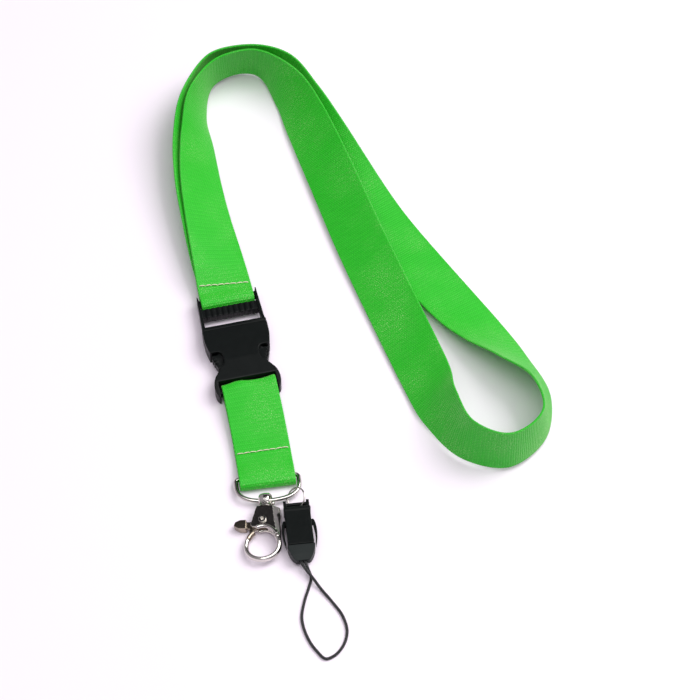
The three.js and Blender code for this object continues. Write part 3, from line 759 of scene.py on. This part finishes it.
def build_cord():
    route = np.array(CORD_ROUTE) / MM
    known = arc_length(route)
    even = np.linspace(0, known[-1], CORD_STEPS)
    path = resample(route, known, even)
    radius = CORD_DIAMETER / 2

    def plaited(s, angle):
        return 1 + 0.03 * np.maximum(np.sin(s * 6.5 + angle * 4), np.sin(s * 6.5 - angle * 4)) - 0.02

    points, along, around = sweep(path, radius, CORD_SIDES, twist=plaited)
    faces = ring_faces(len(path), CORD_SIDES)
    obj = mesh_object("phone_cord", points, faces, CORD, {"along_mm": along, "around": around})
    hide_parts("phone_loop_cord")
    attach(obj, "clip_plug")


build_cord()

# ---------------------------------------------------------------- stage

def direction(azimuth, elevation):
    """The unit vector towards a bearing and a height angle, in degrees."""
    flat = math.cos(elevation * DEGREE)
    return Vector((
        flat * math.cos(azimuth * DEGREE),
        flat * math.sin(azimuth * DEGREE),
        math.sin(elevation * DEGREE),
    ))


# The camera: where it looks, from which side and how high above the table, and from how far.
LOOK_AT = Vector((0.04995, -0.01403, 0))
CAMERA_AZIMUTH = -102.79
CAMERA_ELEVATION = 56
CAMERA_DISTANCE = 1.1488
LENS = 128.57
EYE = LOOK_AT + direction(CAMERA_AZIMUTH, CAMERA_ELEVATION) * CAMERA_DISTANCE


def build_camera():
    data = bpy.data.cameras.new("camera")
    data.lens = LENS
    data.sensor_width = 36
    data.clip_start = 0.05
    camera = bpy.data.objects.new("camera", data)
    camera.location = EYE
    camera.rotation_euler = (LOOK_AT - EYE).to_track_quat("-Z", "Y").to_euler()
    bpy.context.scene.collection.objects.link(camera)
    bpy.context.scene.camera = camera


def area_light(name, place, aim, size, power):
    data = bpy.data.lights.new(name, "AREA")
    data.shape = "SQUARE"
    data.size = size
    data.energy = power
    light = bpy.data.objects.new(name, data)
    light.location = place
    light.rotation_euler = (Vector(aim) - Vector(place)).to_track_quat("-Z", "Y").to_euler()
    bpy.context.scene.collection.objects.link(light)


# The room is dark low down, round the camera, and where the object's flat tops mirror it.
ROOM_LIGHT = 0.42
DARK_PATCHES = (((77, 56), 0.70, 0.94, 0.04), ((-103, 50), 0.78, 0.95, 0.12))
HORIZON = (0.02, 0.32, 0.1)


def build_world():
    world = bpy.data.worlds.new("studio")
    world.use_nodes = True
    tree = world.node_tree
    background = tree.nodes["Background"]
    place = tree.nodes.new("ShaderNodeTexCoord").outputs["Generated"]
    strength = ROOM_LIGHT

    def dimmed(strength, axis, start, end, low, high):
        towards = tree.nodes.new("ShaderNodeVectorMath")
        towards.operation = "DOT_PRODUCT"
        towards.inputs[1].default_value = axis
        tree.links.new(place, towards.inputs[0])
        share = tree.nodes.new("ShaderNodeMapRange")
        share.interpolation_type = "SMOOTHSTEP"
        for key, value in (("From Min", start), ("From Max", end), ("To Min", low), ("To Max", high)):
            share.inputs[key].default_value = value
        tree.links.new(towards.outputs["Value"], share.inputs["Value"])
        product = tree.nodes.new("ShaderNodeMath")
        product.operation = "MULTIPLY"
        tree.links.new(share.outputs[0], product.inputs[0])
        if isinstance(strength, float):
            product.inputs[1].default_value = strength
        else:
            tree.links.new(strength, product.inputs[1])
        return product.outputs[0]

    for aim, start, end, low in DARK_PATCHES:
        strength = dimmed(strength, direction(*aim), start, end, 1, low)
    strength = dimmed(strength, (0, 0, 1), HORIZON[0], HORIZON[1], HORIZON[2], 1)
    tree.links.new(strength, background.inputs["Strength"])
    background.inputs["Color"].default_value = (0.97, 0.92, 1.0, 1)
    bpy.context.scene.world = world


LIGHT_CENTRE = Vector((0.055, 0.0, 0.0))
FLOOR_HALF = 3000
FLOOR_Z = -0.02


def softbox(name, azimuth, elevation, distance, size, power):
    place = LIGHT_CENTRE + direction(azimuth, elevation) * distance
    area_light(name, place, LIGHT_CENTRE, size, power)


def build_stage():
    n = Nodes("paper_floor")
    n.set(Specular_IOR_Level=0.1)
    tone = n.mix(n.noise(3.0, 2), (0.93, 0.845, 0.935, 1), (0.95, 0.865, 0.955, 1))
    n.finish(tone, 0.85, n.bump(n.noise(900.0, 3), 0.00002, 0.2))
    far = FLOOR_HALF
    corners = [(x, y, FLOOR_Z) for x, y in ((-far, -far), (far, -far), (far, far), (-far, far))]
    floor = mesh_object("floor", corners, [(0, 1, 2, 3)], n.material)
    build_world()
    softbox("key_softbox", 10, 54, 1.3, 0.8, 12.5)
    softbox("overhead_softbox", -90, 78, 1.5, 1.4, 14.5)
    scene = bpy.context.scene
    scene.view_settings.view_transform = "Standard"
    scene.view_settings.look = "None"


build_stage()
build_camera()
